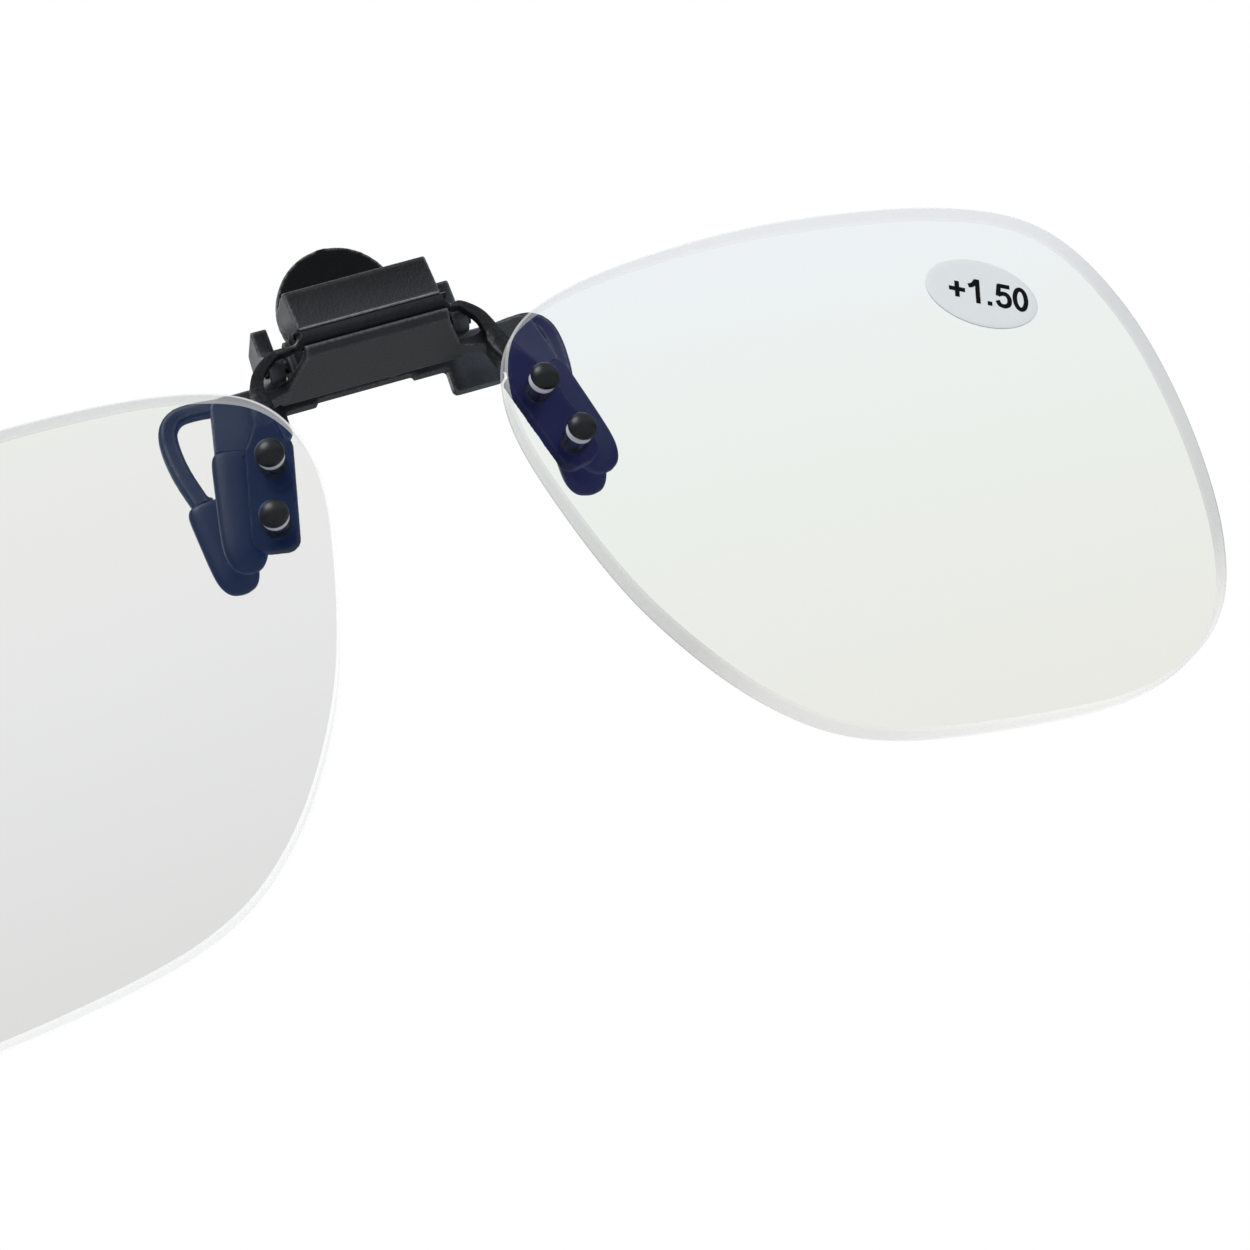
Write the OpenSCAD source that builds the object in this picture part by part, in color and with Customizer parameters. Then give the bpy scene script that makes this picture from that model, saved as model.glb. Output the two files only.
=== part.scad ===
// Clip-on flip-up reading glasses: two rimless lenses on a flip-up carrier, and a sprung clip.
// X runs from lens to lens, Y points back to the wearer's face, Z points up. Millimetres.
// The origin is midway between the feet, on the faces of the front sleeves that grip.

/* [Lenses] */
// Width of one lens
lens_w = 60.3; // [56:0.1:64]
// Height of one lens
lens_h = 49; // [45:0.5:53]
// Gap between the two lenses at the nose
lens_gap = 16; // [15.4:0.1:17.6]
// Thickness of a lens at its middle
lens_t = 3; // [2.6:0.1:3.6]
// Radius of the convex front of a lens, whose back is flat
lens_front_r = 400; // [330:10:900]
// Angle by which each lens turns back towards the temple, in degrees
wrap = 11.4; // [8:0.1:12]
// Distance of the lens middle below the grip
lens_drop = 11; // [10:0.25:12]
// Distance of the lens back in front of the grip
lens_ahead = 4.5; // [4.4:0.1:5.5]

/* [Lens pins] */
// Diameter of a pin's domed head
head_d = 2.6; // [2.3:0.05:2.8]
// Diameter of a pin's shank
shank_d = 1.2; // [0.9:0.05:1.4]
// Outer diameter of a clear bush
bush_d = 2.1; // [1.9:0.05:2.3]
// Distance between the two pins of a lens
pin_pitch = 5.35; // [4.8:0.05:5.8]

/* [Carrier] */
// Diameter of the hinge bar that the lenses flip on
bar_d = 1.6; // [1.4:0.05:1.65]
// Width of a mounting plate behind a lens
plate_w = 3.9; // [3.4:0.1:4.2]
// Thickness of a mounting plate
plate_t = 1.1; // [0.9:0.05:1.2]
// Thickness of a crescent arm at the bar
arm_t = 0.6; // [0.5:0.05:0.75]

/* [Front jaw] */
// Width of the lever block
block_w = 12.2; // [11:0.1:12.6]
// Height of the lever block's top above the grip
block_top = 16.5; // [15.8:0.1:17.5]
// Thickness of the floor plate
floor_t = 0.65; // [0.5:0.05:0.7]
// Half the floor's width at its back edge
floor_half = 8.3; // [7.6:0.1:8.6]
// Thickness of the front legs
leg_t = 1.6; // [1.2:0.1:1.8]

/* [Rear jaw] */
// Thickness of the rear jaw's plate
jaw_t = 1.4; // [1.2:0.1:1.6]
// Diameter of the round thumb tab
tab_d = 10.6; // [9.4:0.2:11.4]
// Width of the curved rear arms
band_w = 1.6; // [1.3:0.1:1.9]
// Thickness of an ear
ear_t = 1.4; // [1.1:0.1:1.5]
// Angle at which the rear jaw's plate leans back going down, in degrees
leg_lean = 11; // [9:0.5:13]

/* [Jaw hinge] */
// Diameter of the steel pin
pin_d = 1.2; // [1:0.05:1.3]
// Diameter of the spring wire
wire_d = 0.4; // [0.3:0.05:0.45]
// Turns of the spring
coils = 5; // [4:1:5]

/* [Sleeves] */
// Width of a rubber sleeve
sleeve_w = 3.9; // [3.6:0.1:4]
// Thickness of a rubber sleeve
sleeve_t = 2; // [1.9:0.1:2.2]
// Thickness of the foot inside a sleeve
foot_t = 0.9; // [0.7:0.05:1]

/* [Sticker] */
// Length of the oval power sticker
sticker_l = 10.2; // [8:0.2:12]
// Width of the oval power sticker
sticker_h = 7.1; // [5:0.1:8]

/* [Hidden] */
$fn = 48;

running = 0.05;   // clearance of a piece that turns
seat = 0.02;      // clearance of a piece that is pushed home
side_gap = 0.3;   // clearance between the ears and the front jaw's knuckles

black = [0.13, 0.14, 0.15];
rubber = [0.07, 0.07, 0.08];
steel = [0.75, 0.76, 0.78];
clear = [0.85, 0.9, 0.92, 0.35];

// Lens shape: shares of half the width and half the height, from the nose down and round.
lens_knots = [[-0.998, 0.509], [-0.965, 0.174], [-0.833, -0.302], [-0.599, -0.711],
              [-0.308, -0.921], [0.183, -0.994], [0.539, -0.966], [0.806, -0.794],
              [0.946, -0.473], [0.999, 0.008], [0.962, 0.467], [0.816, 0.804],
              [0.521, 0.951], [0.019, 1.001], [-0.403, 0.969], [-0.736, 0.887],
              [-0.922, 0.756]];
lens_steps = 6;   // straight edges between two knots

wrap_x = 10.4;                              // the lens planes turn about this line
lens_y = -lens_ahead;                       // back of the lens, on that line
lens_mid = lens_gap / 2 + lens_w / 2 - wrap_x;  // from that line to the lens middle

// Lens pins, in the lens plane, measured from the turning line and the lens middle.
pin_lean = 14.5;
upper_pin = [0.85, 13.8];
plate_shift = 0.4;    // the plates' middle line lies this far outward of the pins
collar_t = 0.6;        // height of a bush's collar in front of the lens
lower_pin = upper_pin + pin_pitch * [sin(pin_lean), -cos(pin_lean)];

// Flip hinge and jaw hinge, as [y, z].
bar = [-6.95, 11.7];
bar_r = bar_d / 2;
bar_half = block_w / 2 + 0.5;
jaw = [-2, 12.2];
pin_r = pin_d / 2;
boss_r = 1.2;
knuckle_r = 1.45;
ear_in = 7.3;
ear_out = ear_in + ear_t;
pin_half = ear_out + 0.3;

// Front jaw
front_face = -7.85;
lip_y = bar[0] - 0.45;  // front of the lips that the hinge bar snaps in between
mouth = bar_r - 0.25;   // half the slot between the lips
floor_top = 10.65;
floor_bottom = floor_top - floor_t;
floor_end = 0.8;
block_back = -3.6;
well_half = 3.1;
leaf_half = 4;
leaf_t = 0.2;
leaf_y = bar[0] + bar_r + running + 0.02;
leaf_bottom = 10.95;
leaf_top = 13.1;

// Legs: the sleeves' middle plane is half a sleeve in front of the grip.
foot_y = -sleeve_t / 2;
front_collar_z = 6.2;
// Middle of a foot at its root and at its end, as [x, z, half width].
front_foot = [[13.45, front_collar_z, 1.15], [15.25, -2.7, 0.85]];
rear_foot = [[16, 5.9, 0.8], [15.35, -1.7, 0.8]];
rear_foot_y = 5.65;
rear_collar_z = 5.4;
rear_y = 4;        // middle of the rear jaw's plate at the bend
bend_z = 14;       // height of the bend between the tab and the legs
spring_pitch = 0.95;
spring_r = pin_r + 0.35 + wire_d / 2;
slot_w = wire_d + 0.5;

// Points on a closed smooth curve through knots (Catmull-Rom), steps to each knot.
function spline_at(p, i, t) =
    let (n = len(p), a = p[(i + n - 1) % n], b = p[i], c = p[(i + 1) % n], d = p[(i + 2) % n])
    0.5 * (2 * b + (c - a) * t + (2 * a - 5 * b + 4 * c - d) * t * t
           + (3 * b - a - 3 * c + d) * t * t * t);
function closed_spline(p, steps) =
    [for (i = [0:len(p) - 1], k = [0:steps - 1]) spline_at(p, i, k / steps)];

// Points on an open smooth curve through knots of any dimension.
function open_at(p, i, t) =
    let (n = len(p), b = p[i], c = p[i + 1],
         a = i > 0 ? p[i - 1] : 2 * b - c, d = i + 2 < n ? p[i + 2] : 2 * c - b)
    0.5 * (2 * b + (c - a) * t + (2 * a - 5 * b + 4 * c - d) * t * t
           + (3 * b - a - 3 * c + d) * t * t * t);
function open_spline(p, steps) =
    concat([for (i = [0:len(p) - 2], k = [0:steps - 1]) open_at(p, i, k / steps)],
           [p[len(p) - 1]]);

// A polygon whose corners [a, b, radius] are rounded by tangent arcs.
function unit(v) = v / norm(v);
function corner_arc(p, q, s, r, steps) =
    let (u = unit(p - q), v = unit(s - q), half = acos(u * v) / 2,
         reach = r / tan(half), mid = q + unit(u + v) * r / sin(half),
         from = q + u * reach - mid, to = q + v * reach - mid,
         start = atan2(from[1], from[0]),
         turn = (atan2(to[1], to[0]) - start + 540) % 360 - 180)
    [for (k = [0:steps]) mid + r * [cos(start + turn * k / steps), sin(start + turn * k / steps)]];
function xy(c) = [c[0], c[1]];
function rounded(corners, steps = 5) =
    let (n = len(corners))
    [for (i = [0:n - 1])
        let (c = corners[i])
        each (c[2] > 0 ? corner_arc(xy(corners[(i + n - 1) % n]), xy(c),
                                    xy(corners[(i + 1) % n]), c[2], steps) : [xy(c)])];

// Outline of a strip along a path of [x, z, half width], with a round far end if asked.
function path_dir(p, i) = unit(xy(p[min(i + 1, len(p) - 1)]) - xy(p[max(i - 1, 0)]));
function side_point(p, i, s) =
    let (d = path_dir(p, i)) xy(p[i]) + s * p[i][2] * [-d[1], d[0]];
function strip(p, round_end = false) =
    let (n = len(p), d = path_dir(p, n - 1), a = atan2(d[1], d[0]), r = p[n - 1][2])
    concat([for (i = [0:n - 1]) side_point(p, i, 1)],
           round_end ? [for (k = [1:9]) xy(p[n - 1]) + r * [cos(a + 90 - 18 * k), sin(a + 90 - 18 * k)]]
                     : [],
           [for (i = [n - 1:-1:0]) side_point(p, i, -1)]);

// A solid skinned over closed rings of points, all with the same count.
module skin(rings) {
    m = len(rings[0]);
    n = len(rings);
    polyhedron([for (ring = rings) each ring],
               concat([[for (j = [0:m - 1]) j]],
                      [for (i = [0:n - 2], j = [0:m - 1])
                          let (k = (j + 1) % m) [i * m + j, (i + 1) * m + j, (i + 1) * m + k]],
                      [for (i = [0:n - 2], j = [0:m - 1])
                          let (k = (j + 1) % m) [i * m + j, (i + 1) * m + k, i * m + k]],
                      [[for (j = [m - 1:-1:0]) (n - 1) * m + j]]));
}

// Extrusions of a drawing in [y, z] along X, and of one in [x, z] along Y.
module along_x(from, to) {
    translate([from, 0, 0]) rotate([90, 0, 90]) linear_extrude(to - from) children();
}
module along_y(from, to) {
    translate([0, to, 0]) rotate([90, 0, 0]) linear_extrude(to - from) children();
}
module rod_x(at, r, half) {
    translate([-half, at[0], at[1]]) rotate([0, 90, 0]) cylinder(r = r, h = 2 * half);
}
module pair() {
    children();
    mirror([1, 0, 0]) children();
}
// Puts a drawing made in the plane of the right lens, back at y = 0, into its place.
module in_lens_plane() {
    translate([wrap_x, lens_y, -lens_drop]) rotate([0, 0, wrap]) children();
}

// Lenses

function lens_outline() =
    [for (q = closed_spline(lens_knots, lens_steps))
        [lens_mid + q[0] * lens_w / 2, q[1] * lens_h / 2]];

// Solid bounded in front by the convex face, on the lens axis, grown outward by extra.
function front_arc(d) = lens_t - lens_front_r + sqrt(pow(lens_front_r, 2) - d * d);
module front_cap(extra = 0) {
    edge = lens_w / 2 + 6;
    translate([lens_mid, 0, 0]) rotate([90, 0, 0]) rotate_extrude($fn = 144)
        polygon(concat([[edge, -1], [0, -1]],
                       [for (k = [0:12]) [edge * k / 12, front_arc(edge * k / 12) + extra]]));
}
function lens_thickness(p) = front_arc(norm(p - [lens_mid, 0]));
module through_lens(p, r) {
    translate([p[0], 2, p[1]]) rotate([90, 0, 0]) cylinder(r = r, h = lens_t + 4);
}
module lens() {
    color(clear) in_lens_plane() difference() {
        intersection() {
            along_y(-lens_t - 0.5, 0) polygon(lens_outline());
            front_cap();
        }
        through_lens(upper_pin, bush_d / 2 + seat);
        through_lens(lower_pin, bush_d / 2 + seat);
    }
}
module lens_right() { lens(); }
module lens_left() { mirror([1, 0, 0]) lens(); }

// Clear bush in a lens hole, flush behind and with a collar in front.
module bush(p) {
    t = lens_thickness(p);
    bore = shank_d / 2 + seat;
    wide = head_d / 2 - 0.05;
    // The collar stands clear of the convex front, which rises towards the lens middle.
    foot = t + wide * norm(p - [lens_mid, 0]) / lens_front_r + 0.02;
    color(clear) in_lens_plane() translate([p[0], 0, p[1]]) rotate([90, 0, 0]) rotate_extrude()
        polygon([[bore, 0], [bush_d / 2, 0], [bush_d / 2, foot], [wide, foot],
                 [wide, t + collar_t], [bore, t + collar_t]]);
}
module upper_bush_right() { bush(upper_pin); }
module lower_bush_right() { bush(lower_pin); }
module upper_bush_left() { mirror([1, 0, 0]) bush(upper_pin); }
module lower_bush_left() { mirror([1, 0, 0]) bush(lower_pin); }

// Push pin: a domed head before the lens, a shank, and a tail spread behind the plate.
module push_pin(p) {
    t = lens_thickness(p) + collar_t + 0.04;
    r = head_d / 2;
    dome = 0.86 * r;
    tail = 0.22;
    back = plate_t + seat;
    color(black) in_lens_plane() translate([p[0], 0, p[1]]) rotate([90, 0, 0]) {
        translate([0, 0, t]) rotate_extrude()
            polygon(concat([[0, 0], [r * 0.94, 0]],
                           [for (a = [0:10:90]) [r * cos(a), 0.18 + dome * sin(a)]]));
        translate([0, 0, -back]) cylinder(r = shank_d / 2, h = t + back);
        translate([0, 0, -back - tail]) cylinder(r1 = shank_d / 2 + 0.15, r2 = shank_d / 2 + 0.4, h = tail);
    }
}
module upper_pin_right() { push_pin(upper_pin); }
module lower_pin_right() { push_pin(lower_pin); }
module upper_pin_left() { mirror([1, 0, 0]) push_pin(upper_pin); }
module lower_pin_left() { mirror([1, 0, 0]) push_pin(lower_pin); }

// Oval sticker on the outer top of the right lens, 0.1 thick and following the curve.
sticker_in = 14.75;     // its middle, inward of the lens's outer side
sticker_down = 10.6;    // its middle, below the lens's top
sticker_at = [lens_mid + lens_w / 2 - sticker_in, lens_h / 2 - sticker_down];
sticker_tilt = -28;
module power_sticker() {
    color([0.86, 0.87, 0.88]) in_lens_plane() intersection() {
        along_y(-lens_t - 1, 0) translate(sticker_at) rotate(sticker_tilt)
            polygon([for (a = [0:7.5:352.5]) [sticker_l / 2 * cos(a), sticker_h / 2 * sin(a)]]);
        difference() {
            front_cap(0.11);
            front_cap(0.01);
        }
    }
}

// Carrier: the hinge bar, two crescent arms and two mounting plates in one moulding

// Stations of the right arm: x, z, half thickness, front y, back y, share of the wrap.
arm_stations = [[bar_half - 0.35, bar[1] - 0.3, arm_t / 2, bar[0] - 0.55, bar[0] + 0.65, 0],
                [7.1, 11.33, arm_t / 2, -7.4, -5.2, 0],
                [8.4, 11.05, arm_t / 2, -6.95, -3.5, 0],
                [9.25, 10.35, arm_t * 0.52, -6.3, -2.6, 0.2],
                [9.95, 9.25, arm_t * 0.6, -5.6, -2.2, 0.6],
                [10.45, 7.95, arm_t, lens_y + seat, -2.3, 1],
                [10.85, 6.6, arm_t * 1.85, lens_y + seat, lens_y + plate_t, 1],
                [11.2, 5.2, plate_w * 0.42, lens_y + seat, lens_y + plate_t, 1],
                [11.5, 4.2, plate_w / 2, lens_y + seat, lens_y + plate_t, 1]];
// Ring round one station: an oblong with its corners cut, square to the path.
function arm_ring(s, d) =
    let (h = s[2], f = s[3], b = s[4], cut = min(0.3, h * 0.6),
         across = [[-h + cut, f], [h - cut, f], [h, f + cut], [h, b - cut],
                   [h - cut, b], [-h + cut, b], [-h, b - cut], [-h, f + cut]])
    [for (q = across)
        let (x = s[0] + d[1] * q[0], z = s[1] - d[0] * q[0])
        [x, q[1] + s[5] * (x - wrap_x) * tan(wrap), z]];
module crescent_arm() {
    path = open_spline(arm_stations, 4);
    skin([for (i = [0:len(path) - 1]) arm_ring(path[i], path_dir(path, i))]);
}
module mounting_plate() {
    down = [sin(pin_lean), -cos(pin_lean)];
    side = [cos(pin_lean), sin(pin_lean)];
    h = plate_w / 2;
    top = upper_pin - 2.3 * down + plate_shift * side;
    end = lower_pin + 1.9 * down + plate_shift * side;
    in_lens_plane() difference() {
        along_y(seat, plate_t) polygon(rounded([
            concat(top - h * side, 0.4), concat(end - h * side, 1.1),
            concat(end + h * side, 1.5), concat(top + h * side, 0.8)]));
        through_lens(upper_pin, shank_d / 2 + seat);
        through_lens(lower_pin, shank_d / 2 + seat);
    }
}
module lens_carrier() {
    color(black) {
        difference() {
            rod_x(bar, bar_r, bar_half);
            // Flats that the detent leaf rests on, lens down and lens up.
            for (a = [0, 90]) translate([0, bar[0], bar[1]]) rotate([a, 0, 0])
                translate([-leaf_half - 0.3, bar_r - 0.18, -bar_r])
                    cube([2 * leaf_half + 0.6, bar_r, 2 * bar_r]);
        }
        pair() {
            crescent_arm();
            mounting_plate();
        }
    }
}

// Front jaw: lever block, floor, knuckles, wings and legs in one moulding

block_flare = 0.06;   // how much the block's sides open out per millimetre towards the back
module lever_block() {
    back = -1.8;
    half = block_w / 2;
    wide = half + block_flare * (back - front_face);
    intersection() {
        along_x(-wide, wide) polygon(rounded([
            [lip_y, bar[1] + mouth, 0], [lip_y, bar[1] + 0.75, 0.1], [-6.7, block_top, 0.5],
            [back, block_top + 0.3, 0.5], [back - 0.1, block_top - 0.8, 0.35],
            [-3, block_top - 1.8, 0.4], [block_back, block_top - 2.5, 0.5],
            [block_back, floor_bottom, 0], [-7.15, floor_bottom, 0.3],
            [front_face - 0.05, 10.6, 0.12], [front_face + 0.15, 10.8, 0.1],
            [lip_y, bar[1] - 0.75, 0], [lip_y, bar[1] - mouth, 0],
            [bar[0], bar[1] - mouth, 0], [bar[0], bar[1] + mouth, 0]]));
        translate([0, 0, floor_bottom - 1]) linear_extrude(block_top + 2 - floor_bottom)
            polygon([[-half, front_face - 0.2], [half, front_face - 0.2],
                     [wide, back + 0.1], [-wide, back + 0.1]]);
    }
}
module jaw_floor() {
    front = -7.1;
    slope = (floor_half - block_w / 2) / (floor_end - front);
    translate([0, 0, floor_bottom]) linear_extrude(floor_t)
        polygon(rounded([[-block_w / 2, front, 0], [block_w / 2, front, 0],
                         [floor_half, floor_end, 0.5], [-floor_half, floor_end, 0.5]]));
}
module knuckle() {
    along_x(well_half, ear_in - side_gap) union() {
        translate(jaw) circle(r = knuckle_r);
        polygon([[block_back - 0.1, floor_top - 0.1], [block_back - 0.1, 13.6], [-2.4, 13.6],
                 [jaw[0] + knuckle_r, jaw[1]], [jaw[0] + knuckle_r, floor_top - 0.1]]);
    }
}
// Wing under the ear, shoulder and leg down to the collar, then the thinner foot.
module front_leg() {
    collar = front_foot[0];
    down = unit(xy(front_foot[1] - collar));
    side = [-down[1], down[0]];
    along_y(foot_y - leg_t / 2, foot_y + leg_t / 2) polygon(rounded([
        [6.6, floor_top, 0], [9.15, floor_top, 0.3], [9.9, 11.1, 0.5], [13.9, 11.2, 1],
        concat(xy(collar) + 1.55 * side, 0.2), concat(xy(collar) - 1.55 * side, 0.2),
        [10, 7.7, 0.8], [9.6, floor_bottom - 0.6, 0.45], [7.6, floor_bottom - 0.1, 0.3],
        [7.2, floor_bottom, 0], [6.6, floor_bottom, 0]]));
    foot(front_foot, foot_y);
}
// The foot inside a sleeve, grown on all sides by a clearance.
module foot(ends, y, grow = 0) {
    along_y(y - foot_t / 2 - grow, y + foot_t / 2 + grow)
        polygon(strip([for (e = ends) e + [0, 0, grow]], true));
}
module front_jaw() {
    color(black) difference() {
        union() {
            lever_block();
            jaw_floor();
            pair() knuckle();
            pair() front_leg();
        }
        rod_x(bar, bar_r + running, block_w);
        rod_x(jaw, pin_r + seat, ear_out);
        // Pocket of the detent leaf
        translate([-leaf_half - 0.05, leaf_y - seat, leaf_bottom - 0.05])
            cube([2 * leaf_half + 0.1, leaf_t + 2 * seat, leaf_top - leaf_bottom + 0.1]);
        translate([-leaf_half - 0.05, bar[0], bar[1] - mouth])
            cube([2 * leaf_half + 0.1, leaf_y - bar[0], 2 * mouth]);
    }
}

// Steel leaf that bears on the flats of the hinge bar.
module detent_leaf() {
    color(steel) translate([-leaf_half, leaf_y, leaf_bottom])
        cube([2 * leaf_half, leaf_t, leaf_top - leaf_bottom]);
}

// Steel pin of the jaws, held in the knuckles and free in the ears.
module jaw_pin() {
    color(steel) rod_x(jaw, pin_r, pin_half);
}

// Torsion spring round the pin: one unbroken wire, legs to the block and to the rear jaw.
spring_sides = 6;
function coil_point(a) =
    [spring_pitch * (a / 360 - coils / 2), jaw[0] + spring_r * cos(a), jaw[1] + spring_r * sin(a)];
spring_start = 100;
spring_end = spring_start + 360 * coils;
front_leg_end = [coil_point(spring_start)[0], block_back + wire_d / 2 + 0.05, jaw[1] + 1.7];
rear_leg_end = [coil_point(spring_end)[0], rear_y - 0.1, jaw[1] + 2.3];
spring_path = concat([front_leg_end],
                     [for (a = [spring_start:45:spring_end]) coil_point(a)],
                     [rear_leg_end]);
function tangent(p, i) = unit(p[min(i + 1, len(p) - 1)] - p[max(i - 1, 0)]);
function wire_ring(p, i) =
    let (t = tangent(p, i), u = unit([1, 0, 0] - t[0] * t), v = cross(t, u))
    [for (k = [0:spring_sides - 1])
        let (a = -360 * k / spring_sides) p[i] + wire_d / 2 * (cos(a) * u + sin(a) * v)];
module jaw_spring() {
    color(steel) skin([for (i = [0:len(spring_path) - 1]) wire_ring(spring_path, i)]);
}
// Least gap of the wire to itself, between points a half turn or more apart.
spring_gap = min([for (i = [1:len(spring_path) - 2], j = [i + 4:1:len(spring_path) - 2])
                     norm(spring_path[i] - spring_path[j])]) - wire_d;
echo(spring_gap = spring_gap);

// Rear jaw: round tab, crossbar, ears, curved arms and feet in one moulding

// Puts a drawing made upright at y = 0 into the leaning plane of the rear legs.
module leaning() {
    translate([0, rear_y, bend_z]) rotate([leg_lean, 0, 0]) translate([0, 0, -bend_z]) children();
}
// Stations of the right arm: x, z, half width, front y, back y, and no share of the wrap.
arm_y = [4.4, 4.6, 5, 5.4, 5.65, 5.75, 5.75, rear_foot_y];
arm_xz = [[11, 12.95, 0.7], [12.6, 13.3, 0.7], [14.2, 13.65, 0.7], [15.7, 13.75, 0.74],
          [16.75, 12.95, band_w / 2], [17.1, 11.4, band_w / 2], [16.95, 8.8, band_w / 2],
          [16.25, rear_collar_z + 0.1, band_w / 2]];
rear_arm = [for (i = [0:len(arm_y) - 1])
               concat(arm_xz[i], [arm_y[i] - jaw_t / 2, arm_y[i] + jaw_t / 2, 0])];
// Half of the crossbar, its stepped lower edge and one arched lug, from the middle out.
crossbar = [[0, bend_z - 0.2, 0], [12.3, bend_z - 0.3, 0.3], [12.3, 12.1, 0.2],
            [11.7, 11.2, 0.3], [11.7, 8.7, 0.4], [7.15, 8.7, 0.5], [7.15, 10.95, 0.1],
            [4.3, 10.95, 0], [4.3, 11.3, 0], [0, 11.3, 0]];
module rear_plate() {
    leaning() along_y(-jaw_t / 2, jaw_t / 2) pair2d() polygon(rounded(crossbar));
}
module curved_arm() {
    path = open_spline(rear_arm, 3);
    skin([for (i = [0:len(path) - 1]) arm_ring(path[i], path_dir(path, i))]);
}
module pair2d() {
    children();
    mirror([1, 0]) children();
}
module thumb_tab() {
    tab_z = bend_z - 0.75 + tab_d / 2;
    leaning() translate([0, jaw_t / 2, tab_z]) rotate([90, 0, 0]) {
        cylinder(r = tab_d / 2, h = jaw_t);
        // Grip ribs on the back of the tab
        for (k = [-2:2]) translate([-tab_d / 2 + 1.4 + abs(k) * 0.35, k * 1.5 - 0.3, -0.3])
            cube([tab_d - 2.8 - abs(k) * 0.7, 0.6, 0.4]);
    }
    leaning() translate([-tab_d * 0.36, -jaw_t / 2, bend_z - 0.6]) cube([tab_d * 0.72, jaw_t, 2.6]);
}
// An ear rises level with the lever block's top, and its back runs into the plate at the bend.
ear_front = jaw[0] + 0.85;
ear_throat = jaw[1] + 1.9;   // where its front edge leaves the boss
module ear() {
    plate_face = rear_y - 0.8;
    along_x(ear_in, ear_out) union() {
        translate(jaw) circle(r = boss_r);
        polygon(rounded([[ear_front, block_top, 0.25], [plate_face, block_top, 0.3],
                         [rear_y + 0.5, bend_z - 0.4, 0.3], [rear_y + 0.4, bend_z - 1.1, 0.2],
                         [rear_y - jaw_t, jaw[1] + 0.4, 0.3],
                         [jaw[0] + boss_r * sin(20), jaw[1] - boss_r * cos(20), 0],
                         [jaw[0] - boss_r * 0.8, jaw[1] + boss_r * 0.6, 0],
                         [ear_front, ear_throat, 0.4]]));
    }
}
module rear_jaw() {
    color(black) difference() {
        union() {
            rear_plate();
            thumb_tab();
            pair() ear();
            pair() {
                curved_arm();
                foot(rear_foot, rear_foot_y);
            }
        }
        rod_x(jaw, pin_r + running, ear_out + 1);
        // Slot that the spring's rear leg lies in
        translate([rear_leg_end[0] - slot_w / 2, rear_y - 3, 11.6]) cube([slot_w, 6, 4.9]);
    }
}

// Rubber sleeves: a rounded sock over each foot, with a collar at its mouth

// Stations down a sleeve: share of its length, share of its width, share of its thickness.
sleeve_form = [[0, 0.86, 0.86], [0.04, 0.95, 0.95], [0.12, 1, 0.98], [0.35, 1, 1], [0.6, 1, 1],
               [0.78, 0.95, 0.98], [0.89, 0.8, 0.86], [0.96, 0.56, 0.6], [1, 0.22, 0.25]];
function sleeve_ring(top, tip, s) =
    let (d = unit(tip - top), c = top + s[0] * (tip - top),
         w = s[1] * sleeve_w / 2, t = s[2] * sleeve_t / 2)
    [for (k = [0:15])
        let (a = 360 * k / 16, q = w * sign(cos(a)) * pow(abs(cos(a)), 0.7),
             y = t * sign(sin(a)) * pow(abs(sin(a)), 0.7))
        [c[0] - d[1] * q, y, c[1] + d[0] * q]];
module sleeve(ends, top, reach) {
    d = unit(xy(ends[1] - ends[0]));
    color(rubber) difference() {
        skin([for (s = sleeve_form) sleeve_ring(top, xy(ends[1]) + reach * d, s)]);
        foot([ends[0] - 2 * (ends[1] - ends[0]) / norm(xy(ends[1] - ends[0])), ends[1]], 0, seat);
    }
}
front_sleeve_top = xy(front_foot[0]) + 2 * seat * unit(xy(front_foot[1] - front_foot[0]));
rear_sleeve_top = [15.75, rear_collar_z];
module front_sleeve_right() {
    translate([0, foot_y, 0]) sleeve(front_foot, front_sleeve_top, 1.6);
}
module front_sleeve_left() { mirror([1, 0, 0]) front_sleeve_right(); }
module rear_sleeve_right() {
    translate([0, rear_foot_y, 0]) sleeve(rear_foot, rear_sleeve_top, 1.4);
}
module rear_sleeve_left() { mirror([1, 0, 0]) rear_sleeve_right(); }

front_jaw();
rear_jaw();
lens_carrier();
lens_left();
lens_right();
jaw_pin();
jaw_spring();
detent_leaf();
front_sleeve_left();
front_sleeve_right();
rear_sleeve_left();
rear_sleeve_right();
upper_pin_left();
upper_pin_right();
lower_pin_left();
lower_pin_right();
upper_bush_left();
upper_bush_right();
lower_bush_left();
lower_bush_right();
power_sticker();
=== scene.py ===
import math

import bmesh
import bpy
import numpy as np
from mathutils import Matrix, Vector


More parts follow.
